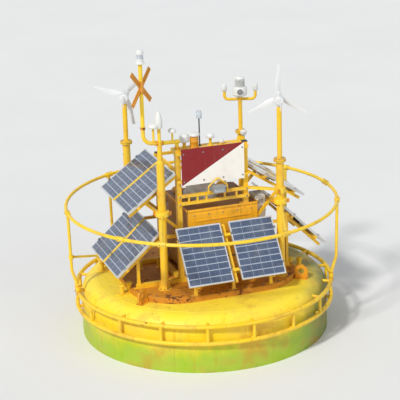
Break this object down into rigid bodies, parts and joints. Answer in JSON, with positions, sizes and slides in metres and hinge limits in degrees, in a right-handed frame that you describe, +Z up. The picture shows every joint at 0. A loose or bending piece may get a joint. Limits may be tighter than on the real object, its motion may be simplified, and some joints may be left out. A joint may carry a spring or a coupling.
{
  "type": "floating lidar buoy",
  "caption": "Moored discus buoy with guard ring, equipment tower, solar modules, wind turbines, aerials and a wind lidar.",
  "frame": {"origin": "middle of the hull on the waterline", "axes": "+Z up, -Y out of the front side that carries the sign, +X to the right of it"},
  "size_m": [3.9673, 3.948, 5.9803],
  "materials": {
    "hull_paint": "weathered satin paint",
    "deck_paint": "worn deck paint",
    "fender_paint": "satin paint",
    "rail_paint": "satin paint",
    "fitting_paint": "satin paint",
    "keel_paint": "matte antifouling",
    "ballast_iron": "rough",
    "frame_paint": "satin paint",
    "cabin_paint": "satin paint",
    "hinge_steel": "brushed",
    "battery_plastic": "matte",
    "lidar_shell": "satin",
    "sign_paint": "satin paint",
    "lantern_white": "gloss",
    "topmark_paint": "satin paint",
    "turbine_white": "gloss",
    "sensor_white": "gloss",
    "module_frame": "anodised",
    "module_glass": "glossy laminate"
  },
  "bodies": {
    "root": {"hull": "hull_paint", "deck_plinth": "deck_paint", "fender_rails": "fender_paint", "guard_ring": "rail_paint", "ring_couplings": "fitting_paint", "ring_posts": "rail_paint", "ring_struts": "rail_paint", "lifting_eyes": "fitting_paint", "keel_frame": "keel_paint", "keel_ballast": "ballast_iron", "mooring_eye": "ballast_iron", "deck_beams": "frame_paint", "tower_posts": "frame_paint", "tower_rails": "frame_paint", "rail_lamp": "sensor_white", "pole_tie": "rail_paint", "top_shelf": "frame_paint", "cabin": "cabin_paint", "door_hinges": "hinge_steel", "battery_block": "battery_plastic", "side_locker": "sensor_white", "lidar_unit": "lidar_shell", "sign_board": "sign_paint", "front_mast": "frame_paint", "gooseneck": "rail_paint", "lantern": "lantern_white", "topmark": "topmark_paint", "right_turbine_pole": "frame_paint", "left_turbine_pole": "frame_paint", "sensor_mast": "rail_paint", "sensor_heads": "sensor_white", "antennas": "sensor_white", "front_module_frames": "module_frame", "front_module_panels": "module_glass", "left_module_frames": "module_frame", "left_module_panels": "module_glass", "right_module_frames": "module_frame", "right_module_panels": "module_glass", "rack_purlins": "frame_paint", "rack_beams": "frame_paint", "rack_legs": "frame_paint"},
    "right_nacelle": {"right_nacelle": "turbine_white"},
    "left_nacelle": {"left_nacelle": "turbine_white"},
    "right_rotor": {"right_rotor": "turbine_white"},
    "left_rotor": {"left_rotor": "turbine_white"},
    "cabin_door_left": {"cabin_door_left": "cabin_paint"},
    "cabin_door_right": {"cabin_door_right": "cabin_paint"}
  },
  "joints": [
    {"name": "right_yaw", "type": "hinge", "parent": "root", "child": "right_nacelle", "pos_m": [0.91, -0.78, 3.46], "axis": [0, 0, 1], "continuous": true},
    {"name": "right_rotor_spin", "type": "hinge", "parent": "right_nacelle", "child": "right_rotor", "pos_m": [0.91, -0.78, 3.46], "axis": [0.3256, 0.9455, 0], "continuous": true},
    {"name": "left_yaw", "type": "hinge", "parent": "root", "child": "left_nacelle", "pos_m": [-0.84, 0.85, 3.32], "axis": [0, 0, 1], "continuous": true},
    {"name": "left_rotor_spin", "type": "hinge", "parent": "left_nacelle", "child": "left_rotor", "pos_m": [-0.84, 0.85, 3.32], "axis": [0.3256, 0.9455, 0], "continuous": true},
    {"name": "door_left_swing", "type": "hinge", "parent": "root", "child": "cabin_door_left", "pos_m": [-0.395, 0.52, 1.44], "axis": [0, 0, 1], "range_deg": [0, 105]},
    {"name": "door_right_swing", "type": "hinge", "parent": "root", "child": "cabin_door_right", "pos_m": [0.685, 0.52, 1.44], "axis": [0, 0, -1], "range_deg": [0, 105]}
  ]
}
